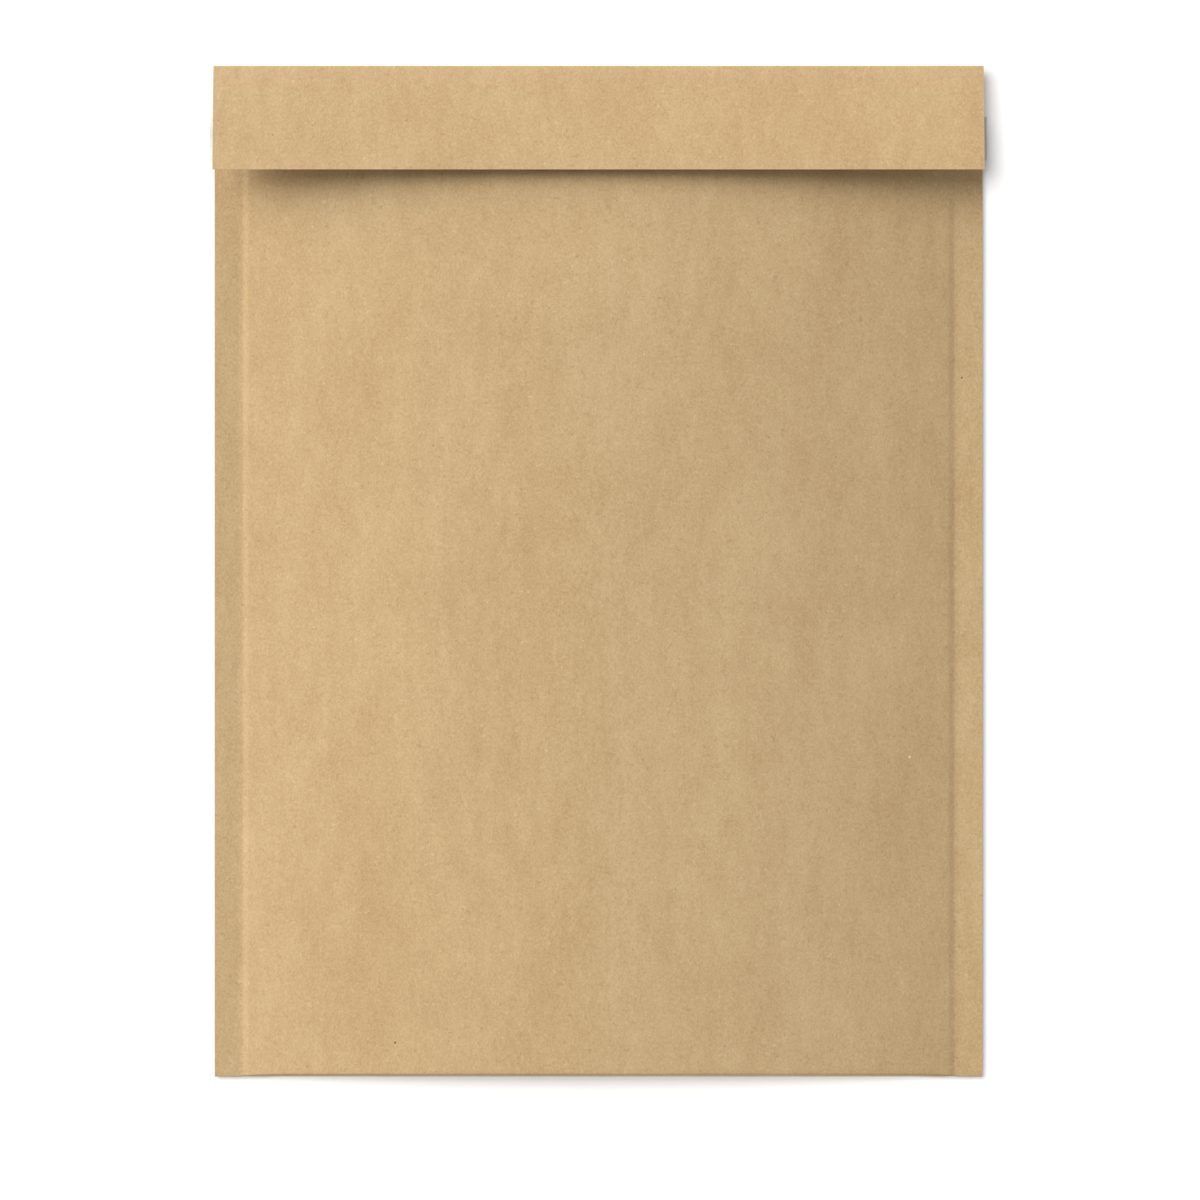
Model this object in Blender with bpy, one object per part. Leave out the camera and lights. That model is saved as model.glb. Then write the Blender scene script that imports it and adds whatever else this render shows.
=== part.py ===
"""Padded envelope, empty, lying on its back panel with the flap folded over the mouth.

The table is Z = 0, the mouth and the flap's crease are at +Y, and the origin is under the middle.
Units are metres.
"""

import math

import bmesh
import bpy
from mathutils import Vector

# Kraft sheet
WIDTH = 0.266
LENGTH = 0.350
PAPER = 0.0002
SEAM_WIDTH = 0.0104
SEAM_BACK = 0.0026  # underside of a side seam above the table
SEAM_FRONT = 0.0038  # top of a side seam above the table
BACK_RUN = 0.016  # width of the slope from a seam down to the flat back
STEP_RISE = 0.0003  # extra rise of the front panel just inside a seam
STEP_RUN = 0.0032
DOME_RISE = 0.0095  # further rise to the middle of the front panel
WALL_LEAN = 0.0011  # how far the bottom fold's lower edge stands out under its upper crease
LEAN_FULL_AT = 0.005  # height of the bottom fold from which it leans that much
FOLD_RADIUS = 0.00045

# Mouth and flap
MOUTH_SETBACK = 0.0055  # from the flap's crease back to the front panel's edge
MOUTH_SHARE = 0.62  # part of the full rise that is left at the mouth
MOUTH_RUN = 0.045  # length over which the front panel comes down to the mouth
MOUTH_BEND = 1.5  # how sharply it comes down
CREASE_HEIGHT = 0.0101
CREASE_LEAN = 0.0004  # how far the wall under the crease leans in at its foot
FLAP_REACH = 0.0363
FLAP_RISE = 0.0058  # from the crease to the flap's free edge

# Lining
BUBBLE_LAYER = 0.0028
LIP_LAYER = 0.0010  # the front film's thickness at the mouth, where the flap's fold squashes it
LIP_RUN = 0.025
LINING_INSET = 0.0015  # from the envelope's side edge to the lining's
LEAST_POCKET = 0.0006
POCKET_INSET = 0.0040  # from a seam's inner edge to the pocket
POCKET_END = 0.0045  # from the bottom fold to the pocket

# Closure
GLUE_WIDTH = 0.013
GLUE_THICKNESS = 0.0002
GLUE_CENTRE = 0.0256  # along the flap from its crease
GLUE_INSET = 0.002
LINER_WIDTH = 0.0154
LINER_THICKNESS = 0.0002
LINER_OVERHANG = 0.001

GAP = 0.0003  # air between pieces that touch
HALF_WIDTH = WIDTH / 2
PADDED_HALF = HALF_WIDTH - SEAM_WIDTH
TOP = LENGTH / 2
MOUTH = TOP - MOUTH_SETBACK

# Stations of the meshes
STEP_STATIONS = 4
DOME_STATIONS = 8
ARC_STATIONS = 4
FRONT_STATIONS = 8
BACK_STATIONS = 4
LIP_STATIONS = 3
END_MARGIN = 0.01  # from the bottom fold to the nearest station of either panel
LINING_START = 1 + 2 * (ARC_STATIONS + 1)  # the path's station on the back panel at the mouth
SHARP_ANGLE = math.radians(30)


def smooth(t):
    t = min(max(t, 0.0), 1.0)
    return t * t * (3 - 2 * t)


def mouth_rise(y):
    """Share of the front panel's full height at y: 1 on the body, less towards the mouth."""
    t = min(max((MOUTH - y) / MOUTH_RUN, 0.0), 1.0)
    return 1 - (1 - MOUTH_SHARE) * (1 - t) ** MOUTH_BEND


def front_height(x, y):
    """Outer face of the front panel."""
    inward = max(PADDED_HALF - abs(x), 0.0)
    crown = 1 - (1 - inward / PADDED_HALF) ** 2
    rise = STEP_RISE * smooth(inward / STEP_RUN) + DOME_RISE * crown
    return SEAM_FRONT + mouth_rise(y) * rise


def back_height(x):
    """Outer face of the back panel."""
    return SEAM_BACK * (1 - smooth((PADDED_HALF - abs(x)) / BACK_RUN))


def across(limit):
    """X stations from -limit to limit, close together where the section bends."""
    dome_edge = PADDED_HALF - STEP_RUN
    half = [dome_edge * i / DOME_STATIONS for i in range(DOME_STATIONS)]
    half += [dome_edge + STEP_RUN * i / STEP_STATIONS for i in range(STEP_STATIONS)]
    slope_end = PADDED_HALF - BACK_RUN
    half += [slope_end, slope_end + BACK_RUN / 3, PADDED_HALF, limit]
    half = sorted(x for x in set(half) if x <= limit)
    return [-x for x in reversed(half) if x > 0] + half


def fillet(before, corner, after, radius):
    """Points of an arc that rounds one corner of a Y-Z outline."""
    towards, away = (before - corner).normalized(), (after - corner).normalized()
    opening = towards.angle(away)
    reach = radius / math.tan(opening / 2)
    centre = corner + (towards + away).normalized() * radius / math.sin(opening / 2)
    start = corner + towards * reach - centre
    end = corner + away * reach - centre
    sweep = math.pi - opening
    points = []
    for i in range(ARC_STATIONS + 1):
        t = i / ARC_STATIONS
        blend = math.sin((1 - t) * sweep) * start + math.sin(t * sweep) * end
        points.append(centre + blend / math.sin(sweep))
    return points


def sheet_path(x):
    """Middle of the kraft sheet at x as (Y, Z), from the flap's free edge round to the mouth."""
    half = PAPER / 2
    back = back_height(x) + half
    bottom = -TOP + half
    front = front_height(x, bottom) - half
    wall = front - back
    free_edge = Vector((TOP - FLAP_REACH, CREASE_HEIGHT + FLAP_RISE - half))
    crease = Vector((TOP - half, CREASE_HEIGHT - half))
    top_back = Vector((TOP - half - CREASE_LEAN, back))
    bottom_back = Vector((bottom, back))
    bottom_front = Vector((bottom + WALL_LEAN * smooth(wall / LEAN_FULL_AT), front))
    front_end = Vector((MOUTH, front))
    path = [free_edge]
    path += fillet(free_edge, crease, top_back, FOLD_RADIUS)
    path += fillet(crease, top_back, bottom_back, FOLD_RADIUS)
    for i in range(BACK_STATIONS):
        y = MOUTH + (bottom + END_MARGIN - MOUTH) * i / (BACK_STATIONS - 1)
        path.append(Vector((y, back)))
    path += fillet(top_back, bottom_back, bottom_front, FOLD_RADIUS)
    path += fillet(bottom_back, bottom_front, front_end, FOLD_RADIUS)
    for y in (bottom + END_MARGIN, 0.0):
        path.append(Vector((y, front_height(x, y) - half)))
    for i in range(FRONT_STATIONS + 1):
        y = MOUTH - MOUTH_RUN * (1 - i / FRONT_STATIONS)
        path.append(Vector((y, front_height(x, y) - half)))
    return path


def offset_path(path, distance):
    """The path moved to its outer side, or to its inner side for a negative distance."""
    moved = []
    for i, point in enumerate(path):
        before, after = path[max(i - 1, 0)], path[min(i + 1, len(path) - 1)]
        first, second = point - before, after - point
        normals = [Vector((-s.y, s.x)).normalized() for s in (first, second) if s.length > 0]
        normal = sum(normals, Vector((0, 0))).normalized()
        moved.append(point + normal * distance / normal.dot(normals[0]))
    return moved


def grid_body(name, outer, inner):
    """One closed body between two grids of points, each a list of rows with the same shape."""
    mesh = bmesh.new()
    sides = [[[mesh.verts.new(p) for p in row] for row in grid] for grid in (outer, inner)]
    rows, columns = len(outer), len(outer[0])
    for side, flip in zip(sides, (False, True)):
        for i in range(rows - 1):
            for j in range(columns - 1):
                ring = [side[i][j], side[i][j + 1], side[i + 1][j + 1], side[i + 1][j]]
                mesh.faces.new(ring[::-1] if flip else ring)
    edge = [(i, 0) for i in range(rows)]
    edge += [(rows - 1, j) for j in range(1, columns)]
    edge += [(i, columns - 1) for i in range(rows - 2, -1, -1)]
    edge += [(0, j) for j in range(columns - 2, 0, -1)]
    for (i, j), (k, m) in zip(edge, edge[1:] + edge[:1]):
        mesh.faces.new([sides[0][i][j], sides[0][k][m], sides[1][k][m], sides[1][i][j]])
    bmesh.ops.recalc_face_normals(mesh, faces=mesh.faces)
    return finished(name, mesh)


def finished(name, mesh):
    data = bpy.data.meshes.new(name)
    mesh.to_mesh(data)
    mesh.free()
    body = bpy.data.objects.new(name, data)
    bpy.context.scene.collection.objects.link(body)
    data.shade_smooth()
    data.set_sharp_from_angle(angle=SHARP_ANGLE)
    return body


def sheet_rows(limit, distance, start=0):
    """Sheet points from a path station on, a row for each X station, moved to the outer side."""
    rows = []
    for x in across(limit):
        path = offset_path(sheet_path(x), distance)[start:]
        rows.append([(x, y, z) for y, z in path])
    return rows


def kraft_shell():
    """Flap, back panel, bottom fold and front panel, folded from one sheet."""
    return grid_body(
        "kraft_shell",
        sheet_rows(HALF_WIDTH, PAPER / 2),
        sheet_rows(HALF_WIDTH, -PAPER / 2),
    )


def front_layer(y):
    """Thickness of the front film where nothing but the flap squashes it."""
    full = smooth((MOUTH - y) / LIP_RUN)
    return LIP_LAYER + (BUBBLE_LAYER - LIP_LAYER) * full


def pocket_cutter():
    """The space inside the lining, open past the mouth."""
    stations = [-TOP + POCKET_END, 0.0, MOUTH - MOUTH_RUN, MOUTH - LIP_RUN]
    stations += [MOUTH - LIP_RUN * (1 - i / LIP_STATIONS) for i in range(1, LIP_STATIONS + 1)]
    stations.append(TOP)
    clear = PAPER + GAP
    top, bottom = [], []
    for x in across(PADDED_HALF - POCKET_INSET):
        low = back_height(x) + clear
        upper, lower = [], []
        for y in stations:
            high = front_height(x, y) - clear
            room = (high - low - LEAST_POCKET) / 2
            upper.append((x, y, high - min(front_layer(y), room)))
            lower.append((x, y, low + min(BUBBLE_LAYER, room)))
        top.append(upper)
        bottom.append(lower)
    cutter = grid_body("pocket_cutter", top, bottom)
    cutter.hide_render = True
    cutter.display_type = "WIRE"
    return cutter


def bubble_lining():
    """Folded bubble film, welded into the side seams and open at the mouth."""
    rows = sheet_rows(HALF_WIDTH - LINING_INSET, -PAPER / 2 - GAP, LINING_START)
    mesh = bmesh.new()
    rings = [[mesh.verts.new(p) for p in row] for row in rows]
    count = len(rings[0])
    for first, second in zip(rings, rings[1:]):
        for j in range(count):
            k = (j + 1) % count
            mesh.faces.new([first[j], first[k], second[k], second[j]])
    mesh.faces.new(rings[0])
    mesh.faces.new(rings[-1])
    bmesh.ops.recalc_face_normals(mesh, faces=mesh.faces)
    body = finished("bubble_lining", mesh)
    cut = body.modifiers.new("pocket", "BOOLEAN")
    cut.operation = "DIFFERENCE"
    cut.solver = "EXACT"
    cut.object = pocket_cutter()
    return body


def flap_strip(name, width, length, thickness, depth):
    """Thin flat strip under the flap, its upper face at depth below the flap's middle."""
    along = Vector((0, -FLAP_REACH + PAPER / 2, FLAP_RISE)).normalized()
    down = Vector((0, -along.z, along.y))
    crease = Vector((0, TOP - PAPER / 2, CREASE_HEIGHT - PAPER / 2))
    centre = crease + along * GLUE_CENTRE + down * (depth + thickness / 2)
    mesh = bmesh.new()
    corners = bmesh.ops.create_cube(mesh, size=1)["verts"]
    for v in corners:
        local = v.co.copy()
        side = Vector((local.x * length, 0, 0))
        v.co = centre + side + along * (local.y * width) + down * (local.z * thickness)
    bmesh.ops.recalc_face_normals(mesh, faces=mesh.faces)
    return finished(name, mesh)


def adhesive_strip():
    depth = PAPER / 2 + GAP
    return flap_strip("adhesive_strip", GLUE_WIDTH, WIDTH - 2 * GLUE_INSET, GLUE_THICKNESS, depth)


def release_liner():
    depth = PAPER / 2 + GAP + GLUE_THICKNESS + GAP
    length = WIDTH + 2 * LINER_OVERHANG
    return flap_strip("release_liner", LINER_WIDTH, length, LINER_THICKNESS, depth)


def coloured(body, name, colour, roughness):
    material = bpy.data.materials.new(name)
    material.use_nodes = True
    shader = material.node_tree.nodes["Principled BSDF"]
    shader.inputs["Base Color"].default_value = (*colour, 1.0)
    shader.inputs["Roughness"].default_value = roughness
    shader.inputs["Metallic"].default_value = 0.0
    body.data.materials.append(material)


def main():
    for old in list(bpy.data.objects):
        bpy.data.objects.remove(old, do_unlink=True)
    coloured(kraft_shell(), "kraft_paper", (0.59, 0.41, 0.21), 0.85)
    coloured(bubble_lining(), "bubble_film", (0.85, 0.87, 0.88), 0.25)
    coloured(adhesive_strip(), "hot_melt_glue", (0.78, 0.72, 0.50), 0.35)
    coloured(release_liner(), "release_paper", (0.80, 0.80, 0.78), 0.45)


main()
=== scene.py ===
"""Looks of the padded envelope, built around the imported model.

X runs across the envelope, Y along it towards the flap's crease, and Z up from the table. Metres.
The kraft sheet, the bubble film, the glue and the release liner each replace their plain solid.
"""

import math

import bpy
import numpy as np
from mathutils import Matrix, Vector, noise


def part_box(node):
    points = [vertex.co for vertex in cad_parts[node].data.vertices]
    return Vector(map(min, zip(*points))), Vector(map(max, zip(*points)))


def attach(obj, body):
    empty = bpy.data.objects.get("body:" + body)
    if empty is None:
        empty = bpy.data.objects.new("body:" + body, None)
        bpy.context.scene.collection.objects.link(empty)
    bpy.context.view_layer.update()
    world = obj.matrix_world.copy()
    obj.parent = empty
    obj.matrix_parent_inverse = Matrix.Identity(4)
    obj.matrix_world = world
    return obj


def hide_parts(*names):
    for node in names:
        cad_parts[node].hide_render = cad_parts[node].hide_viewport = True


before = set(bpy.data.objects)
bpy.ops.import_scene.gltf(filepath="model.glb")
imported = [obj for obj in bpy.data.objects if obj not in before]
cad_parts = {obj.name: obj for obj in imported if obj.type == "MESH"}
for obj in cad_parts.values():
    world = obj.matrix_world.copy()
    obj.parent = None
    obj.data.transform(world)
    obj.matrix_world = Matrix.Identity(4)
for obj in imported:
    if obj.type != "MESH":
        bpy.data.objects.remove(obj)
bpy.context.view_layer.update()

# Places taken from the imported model
SHELL_LOW, SHELL_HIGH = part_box("kraft_shell")
LINING_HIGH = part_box("bubble_lining")[1]
GLUE_LOW, GLUE_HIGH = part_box("adhesive_strip")
LINER_LOW, LINER_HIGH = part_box("release_liner")
HALF_WIDTH = SHELL_HIGH.x
TOP = SHELL_HIGH.y
BOTTOM = SHELL_LOW.y
MOUTH = LINING_HIGH.y
FLAP_TOP = SHELL_HIGH.z  # the flap's free edge

# Kraft sheet
KRAFT = (0.600, 0.415, 0.213)
PAPER = 0.00015
SEAM_WIDTH = 0.0095
SEAM_BACK = 0.0028  # underside of a side seam above the table
SEAM_FRONT = 0.0035  # top of a side seam above the table
SEAM_END = 0.00022  # the seams stop this much short of the bottom fold's lower edge
SEAM_BLEND = 0.0008  # width over which the bottom fold changes from a seam's to the body's
PADDED_HALF = HALF_WIDTH - SEAM_WIDTH  # half of the width between the two seams
BACK_RUN = 0.016  # width of the slope from a seam down to the flat back
STEP_RISE = 0.00022  # extra rise of the front panel just inside a seam
STEP_RUN = 0.0026
DOME_RISE = 0.0099  # further rise to the middle of the front panel
MOUTH_SHARE = 0.60  # part of the full rise that is left at the mouth
MOUTH_RUN = 0.085  # length over which the front panel comes down to the mouth
MOUTH_BEND = 1.5
CREASE_HEIGHT = 0.0101
CREASE_LEAN = 0.0004
CREASE_RADIUS = 0.00045
TURN_RADIUS = 0.0030  # where the back panel turns up to the flap's crease,
TURN_SHARE = 0.3  # and at most this share of the height up to the crease
FLAP_REACH = 0.0363
FLAP_ARCH = 0.16  # how much the flap bows, as a share of its rise
FLAP_SPARE = 0.0001  # the flap's free edge stays this much under the plain solid's top
WALL_OUT = 0.0007  # how far the bottom fold's lower edge stands out under its upper crease,
WALL_SLOPE = 0.083  # with this share of the wall's height added
WALL_BEND = 0.4  # largest radius of the bottom fold's creases, as a share of the wall

# Soft waves of the paper: seed, width of the humps, and stretch along Y (below 1 is longer)
BROAD_WAVE = (1.7, 0.055, 0.6)
FINE_WAVE = (4.1, 0.022, 0.5)
FLAP_WAVE = (7.3, 0.070, 1.0)
SEAM_WAVE = (2.9, 0.050, 1.0)
PANEL_RIPPLE = 0.00012  # height of the broad waves in the front panel
FINE_SHARE = 0.35  # height of its fine waves, as a share of the broad ones
PANEL_WAVE_RUN = 0.020  # the waves reach their height this far inside a seam
FLAP_RIPPLE = 0.00012
SEAM_RIPPLE = 0.00010
SEAM_WAVE_START = 0.004  # the seams' waves begin this far inside a seam
SEAM_WAVE_RUN = 0.010
SETTLE_RUN = 0.020  # and all waves fade out this near to the bottom fold

# Points along the kraft sheet's outline and across it
FLAP_STATIONS = 12
BACK_STATIONS = 56
FRONT_STATIONS = 128
SEAM_STATIONS = 6
STEP_STATIONS = 13
DOME_STATIONS = 70
STEP_ZONE = 0.0036  # width of the close stations just inside a seam
CREASE_STEPS = 6
TURN_STEPS = 8
LOWER_STEPS = 5
WALL_STEPS = 4
UPPER_STEPS = 6
CREASE_MARGIN = 0.004  # the flap's and the back's stations stop this far from the crease
BACK_MARGIN = 0.006  # the back's stations stop this far from the bottom fold
FRONT_MARGIN = 0.002  # the front's stations start this far from the bottom fold

# Bubble film
BUBBLE_PITCH = 0.0100
BUBBLE_RADIUS = 0.0045
BUBBLE_HEIGHT = 0.0026
BUBBLE_SIDES = 12
BUBBLE_PROFILE = ((1.0, 0.0), (0.90, 0.62), (0.58, 0.95))  # rings as shares of radius and height
LIP_SHARE = 0.35  # height of the bubbles at the mouth, as a share of their full height
LIP_RUN = 0.020
WAVE_ROOM = 1.4 * PANEL_RIPPLE  # bubbles stop this much lower, under the front panel's waves
FILM = 0.00006
FILM_GAP = 0.00006  # air between the film and the paper that it is bonded to
FILM_SPARE = 0.00002  # air left between the film's two layers, as a least half gap
FILM_LEAST = 0.00004  # least distance kept from the film to the paper, in the seams
FILM_EDGE = 0.0002  # from the envelope's side edge to the film's
FOLD_LENGTH = 0.008  # film that goes round the bottom fold
FOLD_INSET = 0.0012  # air between the bubbles and the bottom fold
FOLD_PROBE = 0.010  # where the height of the bubbles at the bottom fold is taken
FOLD_TAPS = (-0.0014, -0.0007, 0.0, 0.0007, 0.0014)  # rounds the film's two corners there
FILM_RUN = MOUTH - BOTTOM - FOLD_LENGTH / 2  # length of each of the film's two layers
SLIVER = 1e-8  # cells of the film with less area than this are left out
KEY_STEPS = 1e7  # corners of cells are one point if they round to the same step of a metre

# Glue and release liner
GLUE_THICKNESS = 0.00018
GLUE_DEPTH = 0.00005  # gap between the flap and the glue
GLUE_WANDER = 0.00035
LINER_THICKNESS = 0.00009
LINER_DEPTH = 0.00028  # gap between the flap and the liner
LINER_DROOP = 0.0012  # how far the liner's free ends hang
DROOP_START = 0.004  # where the droop begins, inside the flap's side edge
DROOP_RUN = 0.006
DROOP_UNEVEN = 0.5
DROOP_WAVE = (3.0, 0.006, 1.0)
LOW_EDGE_WAVE = (11.0, 0.012, 1.0)
HIGH_EDGE_WAVE = (13.0, 0.012, 1.0)
STRIP_END = 0.004  # length of the close stations at each end of a strip
END_GAP = 0.006  # and the start of the others
END_STATIONS = 6
STRIP_STATIONS = 90
STRIP_ROWS = 9

# Stage, lights and camera; a level is the light on level ground, where 1 is white
FLOOR_HALF = 20.0
AMBIENT = 0.38
KEY_FROM = (-1.70, 1.20, 1.0)
KEY_SPREAD = 55
KEY_LEVEL = 0.58
FLOOR_FROM = (-0.26, 0.22, 1.0)
FLOOR_SPREAD = 38
FLOOR_LEVEL = 0.83
CAMERA_HEIGHT = 2.0
CAMERA_SHIFT = (0.0005, -0.0096)
VIEW_WIDTH = 0.4158  # width that the camera takes in at the height of the seams
SENSOR = 36


# ---------------------------------------------------------------- shapes of the panels


def smooth(t):
    """Eased step from 0 at t = 0 to 1 at t = 1."""
    t = np.clip(t, 0.0, 1.0)
    return t * t * (3 - 2 * t)


def ripple(x, y, wave):
    """Height between about -1 and 1 of a soft wave, from smooth noise."""
    seed, size, stretch = wave
    return noise.noise(Vector((x / size, stretch * y / size, seed)))


def mouth_rise(y):
    """Share of the front panel's full height at y: 1 on the body, less towards the mouth."""
    t = np.clip((MOUTH - y) / MOUTH_RUN, 0.0, 1.0)
    return 1 - (1 - MOUTH_SHARE) * (1 - t) ** MOUTH_BEND


def front_height(x, y):
    """Outer face of the front panel without its waves."""
    inward = np.maximum(PADDED_HALF - np.abs(x), 0.0)
    crown = 1 - (1 - inward / PADDED_HALF) ** 2
    rise = STEP_RISE * smooth(inward / STEP_RUN) + DOME_RISE * crown
    return SEAM_FRONT + mouth_rise(y) * rise


def back_height(x):
    """Outer face of the back panel."""
    return SEAM_BACK * (1 - smooth((PADDED_HALF - np.abs(x)) / BACK_RUN))


def flap_height(x, y):
    """Upper face of the flap."""
    t = (TOP - y) / FLAP_REACH
    bow = t + FLAP_ARCH * t * (1 - t)
    wave = FLAP_RIPPLE * t * ripple(x, y, FLAP_WAVE)
    return CREASE_HEIGHT + (FLAP_TOP - FLAP_SPARE - CREASE_HEIGHT) * bow + wave


def panel_wave(x, y):
    """Soft unevenness of the front panel over the bubbles, none at the seams."""
    inside = float(smooth((PADDED_HALF - abs(x)) / PANEL_WAVE_RUN))
    broad = ripple(x, y, BROAD_WAVE)
    fine = ripple(x, y, FINE_WAVE)
    return PANEL_RIPPLE * inside * (broad + FINE_SHARE * fine)


def seam_wave(x, y):
    """The side seams aren't quite flat."""
    outside = float(smooth((abs(x) - PADDED_HALF + SEAM_WAVE_START) / SEAM_WAVE_RUN))
    return SEAM_RIPPLE * outside * ripple(x, y, SEAM_WAVE)


# ---------------------------------------------------------------- kraft sheet


def across():
    """X stations of the sheet, close together at the seams."""
    seam = np.linspace(HALF_WIDTH, PADDED_HALF, SEAM_STATIONS)
    step = np.linspace(PADDED_HALF, PADDED_HALF - STEP_ZONE, STEP_STATIONS)[1:]
    dome = np.linspace(PADDED_HALF - STEP_ZONE, 0.0, DOME_STATIONS)[1:]
    half = np.concatenate([seam, step, dome])
    return np.concatenate([-half, half[-2::-1]])


def arc(before, corner, after, radius, steps):
    """Points of an arc that rounds one corner of a Y-Z outline."""
    towards, away = (before - corner).normalized(), (after - corner).normalized()
    opening = towards.angle(away)
    reach = radius / math.tan(opening / 2)
    centre = corner + (towards + away).normalized() * radius / math.sin(opening / 2)
    start = corner + towards * reach - centre
    end = corner + away * reach - centre
    sweep = math.pi - opening
    points = []
    for i in range(steps + 1):
        t = i / steps
        blend = math.sin((1 - t) * sweep) * start + math.sin(t * sweep) * end
        points.append(centre + blend / math.sin(sweep))
    return points


def run(start, end, steps):
    """Points between two points of an outline, without its ends."""
    return [start.lerp(end, i / steps) for i in range(1, steps)]


def sheet_path(x):
    """Middle of the kraft sheet at x as (Y, Z), from the flap's free edge round to the mouth."""
    half = PAPER / 2
    back = float(back_height(x)) + half
    padded = float(smooth((PADDED_HALF + SEAM_BLEND / 2 - abs(x)) / SEAM_BLEND))
    bottom = BOTTOM + half + SEAM_END * (1 - padded)
    front = float(front_height(x, bottom)) - half
    wall = front - back
    lean = padded * WALL_OUT + WALL_SLOPE * (wall - SEAM_FRONT + SEAM_BACK + PAPER)
    flap_start = TOP - CREASE_MARGIN
    before_crease = Vector((flap_start, flap_height(x, flap_start) - half))
    crease = Vector((TOP - half, CREASE_HEIGHT - half))
    top_back = Vector((TOP - half - CREASE_LEAN, back))
    bottom_back = Vector((bottom, back))
    bottom_front = Vector((bottom + lean, front))
    path = []
    for y in np.linspace(TOP - FLAP_REACH, flap_start, FLAP_STATIONS):
        path.append(Vector((y, flap_height(x, y) - half)))
    path += arc(before_crease, crease, top_back, CREASE_RADIUS, CREASE_STEPS)
    turn = min(TURN_RADIUS, TURN_SHARE * (CREASE_HEIGHT - back))
    path += arc(crease, top_back, bottom_back, turn, TURN_STEPS)
    for y in np.linspace(MOUTH - CREASE_MARGIN, bottom + BACK_MARGIN, BACK_STATIONS):
        path.append(Vector((y, back + seam_wave(x, y))))
    radius = min(CREASE_RADIUS, WALL_BEND * wall)
    lower = arc(top_back, bottom_back, bottom_front, radius, LOWER_STEPS)
    upper = arc(bottom_back, bottom_front, Vector((MOUTH, front)), radius, UPPER_STEPS)
    path += lower + run(lower[-1], upper[0], WALL_STEPS) + upper
    for y in np.linspace(bottom + lean + FRONT_MARGIN, MOUTH, FRONT_STATIONS):
        height = float(front_height(x, y)) - half
        settle = float(smooth((y - bottom - FRONT_MARGIN) / SETTLE_RUN))
        path.append(Vector((y, height + settle * (panel_wave(x, y) + seam_wave(x, y)))))
    return path


def offset_path(path, distance):
    """The path moved to its outer side, or to its inner side for a negative distance."""
    moved = []
    for i, point in enumerate(path):
        before, after = path[max(i - 1, 0)], path[min(i + 1, len(path) - 1)]
        first, second = point - before, after - point
        normals = [Vector((-s.y, s.x)).normalized() for s in (first, second) if s.length > 0]
        normal = sum(normals, Vector((0, 0))).normalized()
        moved.append(point + normal * distance / normal.dot(normals[0]))
    return moved


def mesh_piece(name, points, faces, sharp=35):
    """A smooth object that keeps its edges sharp where faces meet at more than sharp degrees."""
    data = bpy.data.meshes.new(name)
    data.from_pydata([tuple(p) for p in points], [], faces)
    data.update()
    piece = bpy.data.objects.new(name, data)
    bpy.context.scene.collection.objects.link(piece)
    data.shade_smooth()
    data.set_sharp_from_angle(angle=math.radians(sharp))
    return piece


def grid_piece(name, outer, inner):
    """One closed piece between two grids of points, each a list of rows with the same shape."""
    rows, columns = len(outer), len(outer[0])
    points = [p for grid in (outer, inner) for row in grid for p in row]
    inner_start = rows * columns
    faces = []
    for i in range(rows - 1):
        for j in range(columns - 1):
            a = i * columns + j
            ring = [a, a + columns, a + columns + 1, a + 1]
            faces.append(ring)
            faces.append([inner_start + k for k in reversed(ring)])
    edge = [i * columns for i in range(rows)]
    edge += [(rows - 1) * columns + j for j in range(1, columns)]
    edge += [i * columns + columns - 1 for i in range(rows - 2, -1, -1)]
    edge += list(range(columns - 2, 0, -1))
    for a, b in zip(edge, edge[1:] + edge[:1]):
        faces.append([b, a, inner_start + a, inner_start + b])
    return mesh_piece(name, points, faces)


def kraft_sheet():
    """Flap, back panel, bottom fold and front panel, folded from one sheet."""
    outer, inner = [], []
    for x in across():
        path = sheet_path(float(x))
        outer.append([(x, y, z) for y, z in offset_path(path, PAPER / 2)])
        inner.append([(x, y, z) for y, z in offset_path(path, -PAPER / 2)])
    return grid_piece("kraft_sheet", outer, inner)


# ---------------------------------------------------------------- bubble film


def bubble_room(x, y):
    """Height left for a bubble at x and y, between the paper and the middle of the pocket."""
    room = front_height(x, y) - back_height(x) - 2 * PAPER
    lip = LIP_SHARE + (1 - LIP_SHARE) * smooth((MOUTH - y) / LIP_RUN)
    free = room / 2 - FILM_GAP - FILM - FILM_SPARE
    return np.minimum(BUBBLE_HEIGHT * lip, np.maximum(free, FILM_LEAST))


def film_line(x, v):
    """The film's flat face as Y and Z, where v runs from the back of the mouth to its front."""
    end = BOTTOM + PAPER + FILM_GAP + bubble_room(x, BOTTOM + FOLD_PROBE) + FOLD_INSET
    back_y = MOUTH - v / FILM_RUN * (MOUTH - end)
    front_y = end + (v - FILM_RUN - FOLD_LENGTH) / FILM_RUN * (MOUTH - end)
    on_back = v < FILM_RUN + FOLD_LENGTH / 2
    y = np.maximum(np.where(on_back, back_y, front_y), end)
    room = bubble_room(x, y)
    low = back_height(x) + PAPER + FILM_GAP + room
    high = front_height(x, y) - PAPER - FILM_GAP - room
    t = np.clip((v - FILM_RUN) / FOLD_LENGTH, 0.0, 1.0)
    return y, low + (high - low) * t


def film_point(x, v):
    """Rounded film line, and its normal in the Y-Z plane, which points to the paper."""
    taps = np.array([film_line(x, v + d) for d in FOLD_TAPS])
    y, z = taps.mean(0)
    along = taps[-1] - taps[0]
    along /= np.maximum(np.hypot(along[0], along[1]), 1e-9)
    return y, z, -along[1], along[0]


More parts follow.
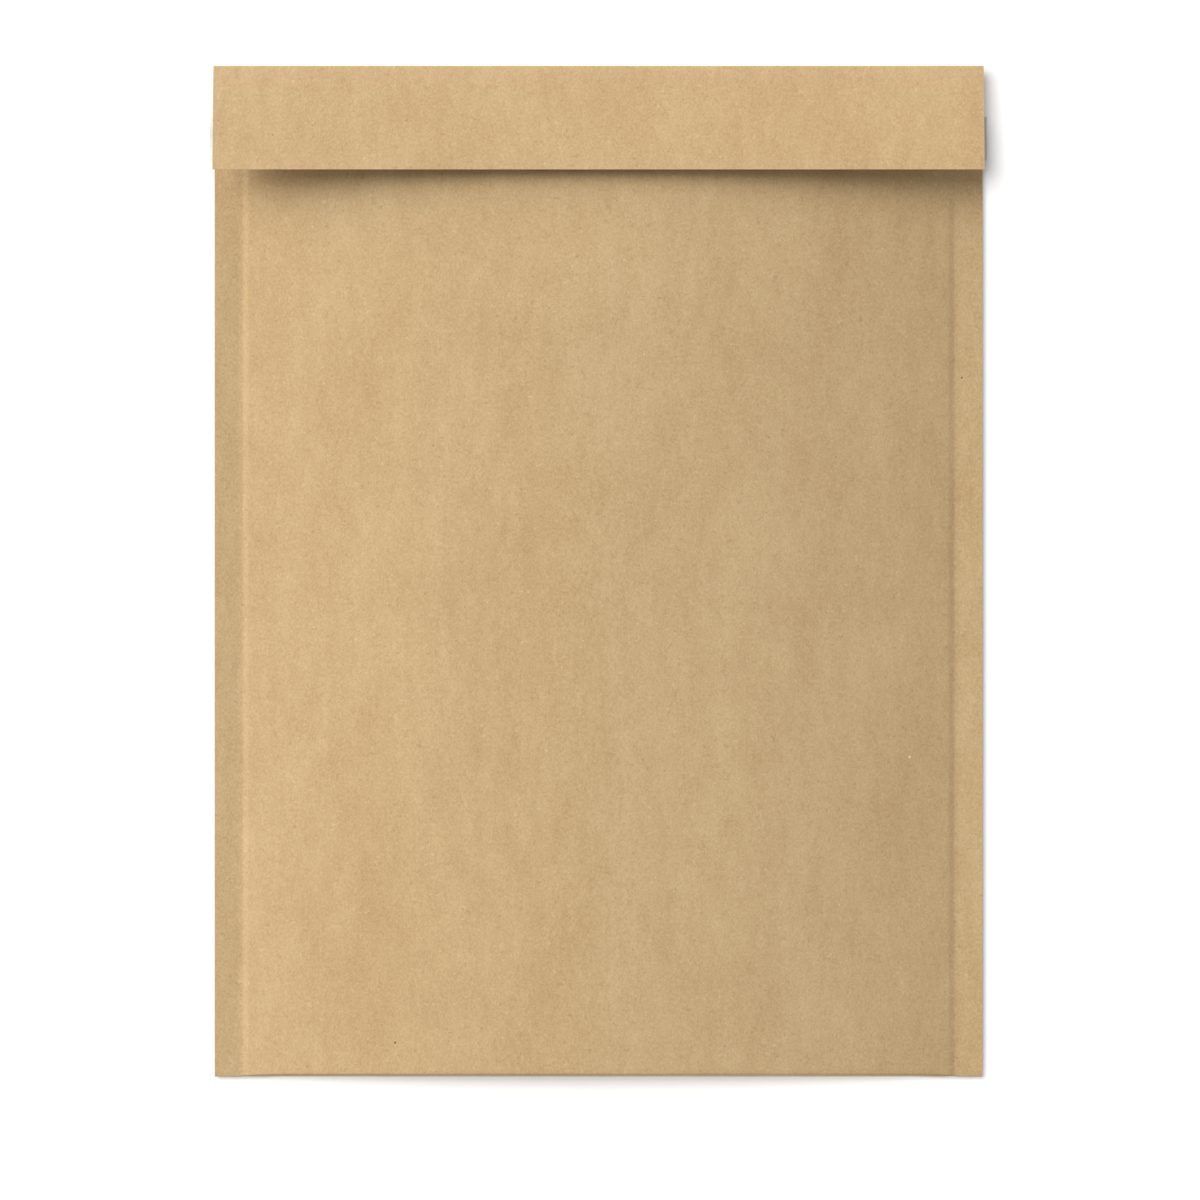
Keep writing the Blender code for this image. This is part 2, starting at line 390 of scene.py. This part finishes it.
def clip_polygon(points, axis, limit, keep_below):
    """The part of a flat polygon on one side of a line parallel to an axis."""
    sign = 1 if keep_below else -1
    kept = []
    for a, b in zip(points, points[1:] + points[:1]):
        inside_a, inside_b = sign * (limit - a[axis]) >= 0, sign * (limit - b[axis]) >= 0
        if inside_a:
            kept.append(a)
        if inside_a != inside_b:
            t = (limit - a[axis]) / (b[axis] - a[axis])
            cut = [a[0] + t * (b[0] - a[0]), a[1] + t * (b[1] - a[1])]
            cut[axis] = limit
            kept.append(tuple(cut))
    return kept


def film_cells():
    """Six-sided cells of the film with their centres, and whether each holds a whole bubble."""
    width = HALF_WIDTH - FILM_EDGE
    length = 2 * FILM_RUN + FOLD_LENGTH
    row_pitch = BUBBLE_PITCH * math.sqrt(3) / 2
    corner = BUBBLE_PITCH / math.sqrt(3)
    cells = []
    for j in range(-1, int(length / row_pitch) + 3):
        for i in range(-int(width / BUBBLE_PITCH) - 2, int(width / BUBBLE_PITCH) + 3):
            cx, cv = (i + 0.5 * (j % 2)) * BUBBLE_PITCH, j * row_pitch
            angles = [math.radians(30 + 60 * k) for k in range(6)]
            ring = [(cx + corner * math.cos(a), cv + corner * math.sin(a)) for a in angles]
            clipped = clip_polygon(ring, 0, width, True)
            clipped = clip_polygon(clipped, 0, -width, False) if clipped else []
            clipped = clip_polygon(clipped, 1, length, True) if clipped else []
            clipped = clip_polygon(clipped, 1, 0.0, False) if clipped else []
            if len(clipped) < 3 or polygon_area(clipped) < SLIVER:
                continue
            whole = abs(cx) < PADDED_HALF - BUBBLE_RADIUS and corner < cv < length - corner
            cells.append((clipped, (cx, cv), whole))
    return cells


def polygon_area(points):
    """Area of a flat polygon."""
    pairs = zip(points, points[1:] + points[:1])
    return abs(sum(a[0] * b[1] - b[0] * a[1] for a, b in pairs)) / 2


def bubble_film():
    """Folded bubble film: a flat inner face, and round bubbles towards the paper."""
    flat, heights, index, faces, edges = [], [], {}, [], {}

    def vertex(point, height=0.0):
        """Add a point and give its number."""
        flat.append(point)
        heights.append(height)
        return len(flat) - 1

    def shared(point):
        """Number of the one point that neighbouring cells have in common."""
        key = (round(point[0] * KEY_STEPS), round(point[1] * KEY_STEPS))
        if key not in index:
            index[key] = vertex(point)
        return index[key]

    cells = film_cells()
    rims = [[shared(p) for p in clipped] for clipped, _, _ in cells]
    middles = []
    for (clipped, centre, _), rim in zip(cells, rims):
        middle = centre if len(clipped) == 6 else tuple(np.mean(clipped, axis=0))
        middles.append(vertex(middle))
        for a, b in zip(rim, rim[1:] + rim[:1]):
            edges[(a, b)] = True
    inner_count = len(flat)
    for (_, centre, whole), rim, middle in zip(cells, rims, middles):
        if whole and len(rim) == 6:
            faces += bubble_faces(centre, rim, vertex)
        else:
            top = vertex(flat[middle])
            faces += [[a, b, top] for a, b in zip(rim, rim[1:] + rim[:1])]
    points = film_positions(np.array(flat), np.array(heights), inner_count)
    inner_start = len(flat)
    for rim, middle in zip(rims, middles):
        for a, b in zip(rim, rim[1:] + rim[:1]):
            faces.append([inner_start + b, inner_start + a, inner_start + middle])
    for a, b in edges:
        if (b, a) not in edges:
            faces.append([b, a, inner_start + a, inner_start + b])
    return mesh_piece("bubble_film", *without_loose(points, faces), sharp=60)


def bubble_faces(centre, rim, vertex):
    """Faces of one bubble inside its six-sided rim."""
    rings = []
    for radius, height in BUBBLE_PROFILE:
        ring = []
        for k in range(BUBBLE_SIDES):
            angle = math.radians(30) + 2 * math.pi * k / BUBBLE_SIDES
            reach = radius * BUBBLE_RADIUS
            place = (centre[0] + reach * math.cos(angle), centre[1] + reach * math.sin(angle))
            ring.append(vertex(place, height))
        rings.append(ring)
    faces = []
    for k in range(6):
        a, b = rim[k], rim[(k + 1) % 6]
        first, second = rings[0][2 * k], rings[0][2 * k + 1]
        third = rings[0][(2 * k + 2) % BUBBLE_SIDES]
        faces += [[a, second, first], [a, b, second], [b, third, second]]
    for lower, upper in zip(rings, rings[1:]):
        for k in range(BUBBLE_SIDES):
            n = (k + 1) % BUBBLE_SIDES
            faces.append([lower[k], lower[n], upper[n], upper[k]])
    top = vertex(centre, 1.0)
    last = rings[-1]
    faces += [[last[k], last[(k + 1) % BUBBLE_SIDES], top] for k in range(BUBBLE_SIDES)]
    return faces


def film_positions(flat, heights, inner_count):
    """Places of the outer face's points, then of the inner face's points."""
    x, v = flat[:, 0], flat[:, 1]
    y, z, ny, nz = film_point(x, v)
    rise = heights * np.maximum(bubble_room(x, y) - WAVE_ROOM, 0.0)
    outer = np.stack([x, y + ny * rise, z + nz * rise], 1)
    inner = np.stack([x, y - ny * FILM, z - nz * FILM], 1)[:inner_count]
    return np.concatenate([outer, inner])


def without_loose(points, faces):
    """The same faces without the points that none of them uses."""
    used = sorted({k for face in faces for k in face})
    place = {k: n for n, k in enumerate(used)}
    return points[used], [[place[k] for k in face] for face in faces]


# ---------------------------------------------------------------- closure


def strip_stations(low, high):
    """X stations of a strip under the flap, close together at both ends."""
    left = np.linspace(low, low + STRIP_END, END_STATIONS)
    middle = np.linspace(low + END_GAP, high - END_GAP, STRIP_STATIONS)
    right = np.linspace(high - STRIP_END, high, END_STATIONS)
    return np.concatenate([left, middle, right])


def flap_strip(name, low, high, thickness, depth, wander=0.0, droop=0.0):
    """A thin strip under the flap over the same place as its plain solid."""
    outer, inner = [], []
    for x in strip_stations(low.x, high.x):
        edge_low = low.y + wander * ripple(x, 0.0, LOW_EDGE_WAVE)
        edge_high = high.y + wander * ripple(x, 0.0, HIGH_EDGE_WAVE)
        sag = droop * float(smooth((abs(x) - HALF_WIDTH + DROOP_START) / DROOP_RUN))
        upper, lower = [], []
        for y in np.linspace(edge_low, edge_high, STRIP_ROWS):
            hang = sag * (1 + DROOP_UNEVEN * ripple(x, y, DROOP_WAVE))
            top = flap_height(x, y) - PAPER - depth - hang
            upper.append((x, y, top))
            lower.append((x, y, top - thickness))
        outer.append(upper)
        inner.append(lower)
    return grid_piece(name, outer, inner)


# ---------------------------------------------------------------- materials


class Nodes:
    """Short ways to add and join the nodes of one material."""

    def __init__(self, name):
        self.material = bpy.data.materials.new(name)
        self.material.use_nodes = True
        self.tree = self.material.node_tree
        self.shader = self.tree.nodes["Principled BSDF"]
        self.coordinates = self.tree.nodes.new("ShaderNodeTexCoord").outputs["Object"]

    def put(self, socket, value):
        """Give a socket a constant, or a link from another node's output."""
        if isinstance(value, bpy.types.NodeSocket):
            self.tree.links.new(value, socket)
        else:
            socket.default_value = value

    def stretched(self, scale, turn=0.0, shift=0.0):
        """Object coordinates times a scale for each axis."""
        node = self.tree.nodes.new("ShaderNodeMapping")
        node.inputs["Scale"].default_value = scale
        node.inputs["Rotation"].default_value = (0, 0, turn)
        node.inputs["Location"].default_value = (shift, 2 * shift, 3 * shift)
        self.tree.links.new(self.coordinates, node.inputs["Vector"])
        return node.outputs["Vector"]

    def noise(self, scale, detail=0.0, roughness=0.5, shift=0.0, turn=0.0):
        """Smooth noise, about 0.5 in the middle, with scale humps a metre along each axis."""
        node = self.tree.nodes.new("ShaderNodeTexNoise")
        node.inputs["Scale"].default_value = 1.0
        node.inputs["Detail"].default_value = detail
        node.inputs["Roughness"].default_value = roughness
        self.tree.links.new(self.stretched(scale, turn, shift), node.inputs["Vector"])
        return node.outputs["Fac"]

    def cells(self, scale, shift=0.0, turn=0.0):
        """Distance from the nearest of many scattered points, and that point's random colour."""
        node = self.tree.nodes.new("ShaderNodeTexVoronoi")
        node.inputs["Scale"].default_value = 1.0
        self.tree.links.new(self.stretched(scale, turn, shift), node.inputs["Vector"])
        return node.outputs["Distance"], node.outputs["Color"]

    def math(self, operation, first, second=0.0, third=0.0):
        """One arithmetic step."""
        node = self.tree.nodes.new("ShaderNodeMath")
        node.operation = operation
        for socket, value in zip(node.inputs, (first, second, third)):
            self.put(socket, value)
        return node.outputs["Value"]

    def ramp(self, value, start, end, low=0.0, high=1.0):
        """value from start to end becomes low to high, smoothly."""
        node = self.tree.nodes.new("ShaderNodeMapRange")
        node.interpolation_type = "SMOOTHSTEP"
        settings = (value, start, end, low, high)
        for socket, setting in zip(node.inputs, settings):
            self.put(socket, setting)
        return node.outputs["Result"]

    def mix(self, factor, first, second):
        """Colour between two colours; sockets 6 and 7 and output 2 are the node's colour ones."""
        node = self.tree.nodes.new("ShaderNodeMix")
        node.data_type = "RGBA"
        self.put(node.inputs["Factor"], factor)
        self.put(node.inputs[6], first)
        self.put(node.inputs[7], second)
        return node.outputs[2]

    def bump(self, height, distance, strength=1.0):
        """Normal of a surface with fine relief, distance deep where height goes from 0 to 1."""
        node = self.tree.nodes.new("ShaderNodeBump")
        node.inputs["Strength"].default_value = strength
        node.inputs["Distance"].default_value = distance
        self.tree.links.new(height, node.inputs["Height"])
        return node.outputs["Normal"]

    def set(self, **values):
        """Shader sockets by name, with _ for a space."""
        for name, value in values.items():
            self.put(self.shader.inputs[name.replace("_", " ")], value)
        return self.material


def specks(nodes, spacing, radius, share, shift):
    """Scattered round specks: one in every cell of a grid, of which only a share is kept."""
    scale = (1 / spacing,) * 3
    distance, colour = nodes.cells(scale, shift)
    pick = nodes.tree.nodes.new("ShaderNodeSeparateColor")
    nodes.tree.links.new(colour, pick.inputs["Color"])
    kept = nodes.math("GREATER_THAN", pick.outputs["Red"], 1 - share)
    reach = radius / spacing
    size = nodes.math("MULTIPLY_ADD", pick.outputs["Green"], 0.7 * reach, 0.5 * reach)
    dot = nodes.ramp(nodes.math("DIVIDE", distance, size), 0.6, 1.0, 1.0, 0.0)
    return nodes.math("MULTIPLY", dot, kept)


def fibres(nodes, size, width, share, shift):
    """Short curved fibres: parts of the level lines of a smooth noise."""
    wave = nodes.noise((1 / size,) * 3, 1.0, 0.5, shift)
    from_level = nodes.math("ABSOLUTE", nodes.math("SUBTRACT", wave, 0.5))
    line = nodes.ramp(from_level, 0.0, width, 1.0, 0.0)
    patch = nodes.noise((0.8 / size,) * 3, 0.0, 0.5, shift + 17.0)
    return nodes.math("MULTIPLY", line, nodes.ramp(patch, share, share + 0.04))


# spacing, radius, share that is kept, shift, strength and colour of the kraft's specks
SPECKS = (
    (0.0022, 0.00034, 0.060, 2.0, 0.35, (0.30, 0.16, 0.08, 1)),
    (0.0070, 0.00050, 0.040, 5.0, 0.80, (0.08, 0.045, 0.03, 1)),
    (0.0026, 0.00036, 0.050, 8.0, 0.30, (0.90, 0.74, 0.52, 1)),
    (0.0090, 0.00060, 0.040, 11.0, 0.60, (0.96, 0.82, 0.66, 1)),
)


def kraft_material():
    """Unbleached kraft: streaks along the length, fine grain, short fibres and sparse specks."""
    n = Nodes("kraft_paper")
    blotch = n.noise((34, 13, 34), 1.0, 0.5)
    streak = n.noise((150, 52, 150), 3.0, 0.8, 5.0)
    grain = n.noise((1500, 1050, 1500), 2.0, 0.9, 9.0)
    tone = n.math("MULTIPLY_ADD", n.math("SUBTRACT", blotch, 0.5), 0.45, 0.5)
    tone = n.math("MULTIPLY_ADD", n.math("SUBTRACT", streak, 0.5), 0.75, tone)
    tone = n.math("MULTIPLY_ADD", n.math("SUBTRACT", grain, 0.5), 1.5, tone)
    dark = (KRAFT[0] * 0.825, KRAFT[1] * 0.76, KRAFT[2] * 0.68, 1)
    light = (KRAFT[0] * 1.175, KRAFT[1] * 1.24, KRAFT[2] * 1.32, 1)
    colour = n.mix(n.math("MINIMUM", n.math("MAXIMUM", tone, 0.0), 1.0), dark, light)
    dark_fibre = fibres(n, 0.0019, 0.028, 0.60, 3.0)
    light_fibre = fibres(n, 0.0022, 0.026, 0.61, 31.0)
    colour = n.mix(n.math("MULTIPLY", dark_fibre, 0.42), colour, (0.37, 0.21, 0.10, 1))
    colour = n.mix(n.math("MULTIPLY", light_fibre, 0.30), colour, (0.84, 0.68, 0.45, 1))
    for spacing, radius, share, shift, strength, tint in SPECKS:
        speck = specks(n, spacing, radius, share, shift)
        colour = n.mix(n.math("MULTIPLY", speck, strength), colour, tint)
    height = n.math("ADD", n.math("MULTIPLY", grain, 0.8), n.math("MULTIPLY", light_fibre, 0.4))
    return n.set(
        Base_Color=colour,
        Roughness=n.ramp(streak, 0.2, 0.8, 0.72, 0.86),
        Specular_IOR_Level=0.28,
        Normal=n.bump(height, 0.00002, 0.6),
    )


def film_material():
    """Clear soft polyethylene, slightly milky and creased."""
    n = Nodes("bubble_film")
    haze = n.noise((90, 60, 90), 3.0, 0.6)
    crease = n.noise((260, 200, 260), 2.0, 0.6, 4.0)
    colour = n.mix(n.ramp(haze, 0.3, 0.7), (0.86, 0.88, 0.89, 1), (0.93, 0.94, 0.94, 1))
    return n.set(
        Base_Color=colour,
        Roughness=n.ramp(haze, 0.2, 0.8, 0.12, 0.26),
        Transmission_Weight=0.55,
        IOR=1.5,
        Normal=n.bump(crease, 0.0003, 0.5),
    )


def glue_material():
    """Pale amber pressure-sensitive glue with fine ridges from the nozzle."""
    n = Nodes("hot_melt_glue")
    cloud = n.noise((300, 500, 300), 3.0, 0.6)
    ridge = n.noise((60, 2600, 60), 2.0, 0.5, 6.0)
    colour = n.mix(n.ramp(cloud, 0.3, 0.7), (0.72, 0.62, 0.36, 1), (0.82, 0.76, 0.55, 1))
    return n.set(
        Base_Color=colour,
        Roughness=n.ramp(cloud, 0.2, 0.8, 0.22, 0.40),
        Normal=n.bump(ridge, 0.0001, 0.5),
    )


def liner_material():
    """White silicone-coated release paper, satin, with a faint cloudiness."""
    n = Nodes("release_paper")
    cloud = n.noise((240, 420, 240), 4.0, 0.65)
    grain = n.noise((2400, 2400, 2400), 1.0, 0.5, 3.0)
    colour = n.mix(n.ramp(cloud, 0.25, 0.75), (0.66, 0.665, 0.665, 1), (0.75, 0.755, 0.755, 1))
    return n.set(
        Base_Color=colour,
        Roughness=n.ramp(cloud, 0.2, 0.8, 0.38, 0.52),
        Normal=n.bump(grain, 0.00003, 0.5),
    )


def floor_material():
    """Matt white, with a faint cloudiness."""
    n = Nodes("pale_floor")
    cloud = n.noise((3, 3, 3), 2.0, 0.5)
    colour = n.mix(cloud, (0.89, 0.89, 0.89, 1), (0.91, 0.91, 0.91, 1))
    return n.set(Base_Color=colour, Roughness=0.9)


# ---------------------------------------------------------------- pieces, stage, light and camera


def place(piece, node, slot, material):
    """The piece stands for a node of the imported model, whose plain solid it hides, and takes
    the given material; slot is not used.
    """
    piece.data.materials.append(material)
    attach(piece, "root")
    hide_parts(node)
    return piece


def envelope():
    """The four pieces, each in place of its plain solid."""
    shell = place(kraft_sheet(), "kraft_shell", "kraft_paper", kraft_material())
    lining = place(bubble_film(), "bubble_lining", "bubble_film", film_material())
    glue = flap_strip(
        "glue_band", GLUE_LOW, GLUE_HIGH, GLUE_THICKNESS, GLUE_DEPTH, wander=GLUE_WANDER
    )
    place(glue, "adhesive_strip", "hot_melt_glue", glue_material())
    liner = flap_strip(
        "release_strip", LINER_LOW, LINER_HIGH, LINER_THICKNESS, LINER_DEPTH, droop=LINER_DROOP
    )
    place(liner, "release_liner", "release_paper", liner_material())
    return [shell, lining, glue, liner]


def floor():
    """A wide level floor under the envelope."""
    signs = ((-1, -1), (1, -1), (1, 1), (-1, 1))
    corners = [(FLOOR_HALF * x, FLOOR_HALF * y, 0) for x, y in signs]
    plane = mesh_piece("floor", corners, [[0, 1, 2, 3]])
    plane.data.materials.append(floor_material())
    return plane


def sun(name, towards, energy, spread, lit):
    """A soft distant light that comes from the direction towards and lights only some objects."""
    data = bpy.data.lights.new(name, "SUN")
    data.energy = energy
    data.angle = math.radians(spread)
    lamp = bpy.data.objects.new(name, data)
    bpy.context.scene.collection.objects.link(lamp)
    lamp.rotation_euler = Vector(towards).to_track_quat("Z", "Y").to_euler()
    group = bpy.data.collections.new(name + "_lights")
    for thing in lit:
        group.objects.link(thing)
    lamp.light_linking.receiver_collection = group
    return lamp


def light(pieces, plane):
    """Even white surroundings, a low key light for the pieces and a high one for the floor."""
    world = bpy.data.worlds.new("studio")
    world.use_nodes = True
    world.node_tree.nodes["Background"].inputs["Color"].default_value = (1, 1, 1, 1)
    world.node_tree.nodes["Background"].inputs["Strength"].default_value = AMBIENT
    bpy.context.scene.world = world
    steepness = Vector(KEY_FROM).normalized().z
    sun("key", KEY_FROM, KEY_LEVEL * math.pi / steepness, KEY_SPREAD, pieces)
    steepness = Vector(FLOOR_FROM).normalized().z
    sun("floor_light", FLOOR_FROM, FLOOR_LEVEL * math.pi / steepness, FLOOR_SPREAD, [plane])


def camera():
    """Straight down from above, with the envelope a little above the middle of the frame."""
    data = bpy.data.cameras.new("camera")
    data.sensor_width = SENSOR
    data.lens = SENSOR * (CAMERA_HEIGHT - SEAM_FRONT) / VIEW_WIDTH
    data.clip_start = 0.05
    data.clip_end = 100
    eye = bpy.data.objects.new("camera", data)
    eye.location = (*CAMERA_SHIFT, CAMERA_HEIGHT)
    bpy.context.scene.collection.objects.link(eye)
    bpy.context.scene.camera = eye


pieces = envelope()
light(pieces, floor())
camera()
bpy.context.scene.view_settings.view_transform = "Standard"
